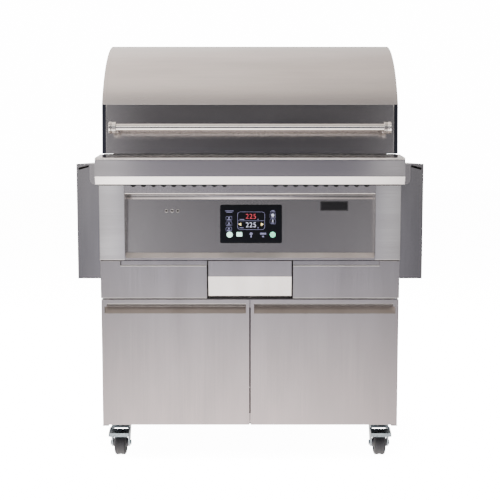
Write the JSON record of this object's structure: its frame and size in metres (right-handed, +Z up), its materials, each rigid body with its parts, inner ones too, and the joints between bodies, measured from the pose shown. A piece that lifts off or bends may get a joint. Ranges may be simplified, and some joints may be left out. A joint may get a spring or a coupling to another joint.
{
  "type": "pellet smoker grill",
  "caption": "Pellet smoker grill: rounded hood with tube handle over a pellet-fed cooking chamber, on a two-door cart with folding side shelves and swivel casters.",
  "frame": {"origin": "centre of the bounding box's underside, on the ground between the wheels", "axes": "+X to the right seen from the front, front faces -Y, +Z up"},
  "size_m": [1.064, 0.7, 1.282],
  "materials": {
    "brushed_panel": "vertical brushed grain",
    "mill_steel": "plain mill finish",
    "polished_steel": "satin polished",
    "grate_steel": "laser-cut, lightly worn",
    "zinc_plate": "bright zinc plate",
    "wheel_rubber": "satin",
    "display_glass": "glossy black glass",
    "black_plastic": "satin",
    "black_enamel": "satin"
  },
  "bodies": {
    "cart": {"cart_base": "mill_steel", "cart_sides": "brushed_panel", "cart_back_panel": "mill_steel", "cart_front_frame": "mill_steel", "cart_front_panel": "brushed_panel", "door_catches": "black_plastic", "door_hinge_pins": "zinc_plate", "drawer_runners": "zinc_plate", "caster_plates": "zinc_plate", "head_shell": "brushed_panel", "head_rear_panel": "mill_steel", "head_pilasters": "brushed_panel", "control_frame": "brushed_panel", "control_panel": "brushed_panel", "display_glass": "display_glass", "controller_box": "black_plastic", "badge_plate": "black_enamel", "probe_jacks": "zinc_plate", "hopper": "mill_steel", "firebox": "mill_steel", "cooking_grates": "grate_steel", "warming_rack": "grate_steel", "heat_diffuser": "grate_steel", "drip_tray": "grate_steel", "fire_pot": "grate_steel", "igniter_rod": "grate_steel", "auger_tube": "mill_steel", "auger_motor": "black_plastic", "fan_housing": "black_plastic", "temperature_probe": "grate_steel", "power_inlet": "black_plastic", "exhaust_duct": "mill_steel", "hood_hinge_brackets": "mill_steel", "shelf_brackets": "brushed_panel"},
    "hood": {"hood_shell": "brushed_panel", "hood_end_caps": "brushed_panel", "hood_knuckles": "mill_steel", "handle_tube": "polished_steel", "handle_posts": "polished_steel"},
    "hopper_lid": {"hopper_lid": "brushed_panel"},
    "left_door": {"left_door": "brushed_panel", "left_door_liner": "mill_steel"},
    "right_door": {"right_door": "brushed_panel", "right_door_liner": "mill_steel"},
    "drawer": {"drawer_front": "brushed_panel", "drawer_tray": "mill_steel"},
    "left_shelf": {"left_shelf": "brushed_panel"},
    "right_shelf": {"right_shelf": "brushed_panel"},
    "auger_screw": {"auger_screw": "zinc_plate"},
    "fan_impeller": {"fan_impeller": "zinc_plate"},
    "caster_front_left": {"caster_fork_front_left": "zinc_plate"},
    "wheel_front_left": {"wheel_front_left": "wheel_rubber"},
    "caster_front_right": {"caster_fork_front_right": "zinc_plate"},
    "wheel_front_right": {"wheel_front_right": "wheel_rubber"},
    "caster_rear_left": {"caster_fork_rear_left": "zinc_plate"},
    "wheel_rear_left": {"wheel_rear_left": "wheel_rubber"},
    "caster_rear_right": {"caster_fork_rear_right": "zinc_plate"},
    "wheel_rear_right": {"wheel_rear_right": "wheel_rubber"},
    "brake_pedal_left": {"brake_pedal_left": "zinc_plate"},
    "brake_pedal_right": {"brake_pedal_right": "zinc_plate"}
  },
  "joints": [
    {"name": "hood_hinge", "type": "hinge", "parent": "cart", "child": "hood", "pos_m": [0, 0.312, 0.945], "axis": [-1, 0, 0], "range_deg": [0, 85]},
    {"name": "hopper_lid_hinge", "type": "hinge", "parent": "cart", "child": "hopper_lid", "pos_m": [0, -0.242, 0.912], "axis": [-1, 0, 0], "range_deg": [0, 40]},
    {"name": "left_door_hinge", "type": "hinge", "parent": "cart", "child": "left_door", "pos_m": [-0.437, -0.33, 0.305], "axis": [0, 0, -1], "range_deg": [0, 105]},
    {"name": "right_door_hinge", "type": "hinge", "parent": "cart", "child": "right_door", "pos_m": [0.437, -0.33, 0.305], "axis": [0, 0, 1], "range_deg": [0, 105]},
    {"name": "drawer_slide", "type": "slide", "parent": "cart", "child": "drawer", "axis": [0, -1, 0], "range_m": [0, 0.28]},
    {"name": "left_shelf_fold", "type": "hinge", "parent": "cart", "child": "left_shelf", "pos_m": [-0.484, 0, 0.89], "axis": [0, 1, 0], "range_deg": [0, 90]},
    {"name": "right_shelf_fold", "type": "hinge", "parent": "cart", "child": "right_shelf", "pos_m": [0.484, 0, 0.89], "axis": [0, -1, 0], "range_deg": [0, 90]},
    {"name": "auger_spin", "type": "hinge", "parent": "cart", "child": "auger_screw", "pos_m": [0, -0.15, 0.66], "axis": [0, 1, 0], "continuous": true},
    {"name": "fan_spin", "type": "hinge", "parent": "cart", "child": "fan_impeller", "pos_m": [0.15, -0.29, 0.655], "axis": [0, 1, 0], "continuous": true},
    {"name": "swivel_front_left", "type": "hinge", "parent": "cart", "child": "caster_front_left", "pos_m": [-0.4, -0.24, 0.096], "axis": [0, 0, 1], "continuous": true},
    {"name": "roll_front_left", "type": "hinge", "parent": "caster_front_left", "child": "wheel_front_left", "pos_m": [-0.4, -0.27, 0.0375], "axis": [1, 0, 0], "continuous": true},
    {"name": "swivel_front_right", "type": "hinge", "parent": "cart", "child": "caster_front_right", "pos_m": [0.4, -0.24, 0.096], "axis": [0, 0, 1], "continuous": true},
    {"name": "roll_front_right", "type": "hinge", "parent": "caster_front_right", "child": "wheel_front_right", "pos_m": [0.4, -0.27, 0.0375], "axis": [1, 0, 0], "continuous": true},
    {"name": "swivel_rear_left", "type": "hinge", "parent": "cart", "child": "caster_rear_left", "pos_m": [-0.4, 0.24, 0.096], "axis": [0, 0, 1], "continuous": true},
    {"name": "roll_rear_left", "type": "hinge", "parent": "caster_rear_left", "child": "wheel_rear_left", "pos_m": [-0.4, 0.27, 0.0375], "axis": [1, 0, 0], "continuous": true},
    {"name": "swivel_rear_right", "type": "hinge", "parent": "cart", "child": "caster_rear_right", "pos_m": [0.4, 0.24, 0.096], "axis": [0, 0, 1], "continuous": true},
    {"name": "roll_rear_right", "type": "hinge", "parent": "caster_rear_right", "child": "wheel_rear_right", "pos_m": [0.4, 0.27, 0.0375], "axis": [1, 0, 0], "continuous": true},
    {"name": "brake_left", "type": "hinge", "parent": "caster_front_left", "child": "brake_pedal_left", "pos_m": [-0.4, -0.286, 0.084], "axis": [1, 0, 0], "range_deg": [0, 12]},
    {"name": "brake_right", "type": "hinge", "parent": "caster_front_right", "child": "brake_pedal_right", "pos_m": [0.4, -0.286, 0.084], "axis": [1, 0, 0], "range_deg": [0, 12]}
  ]
}
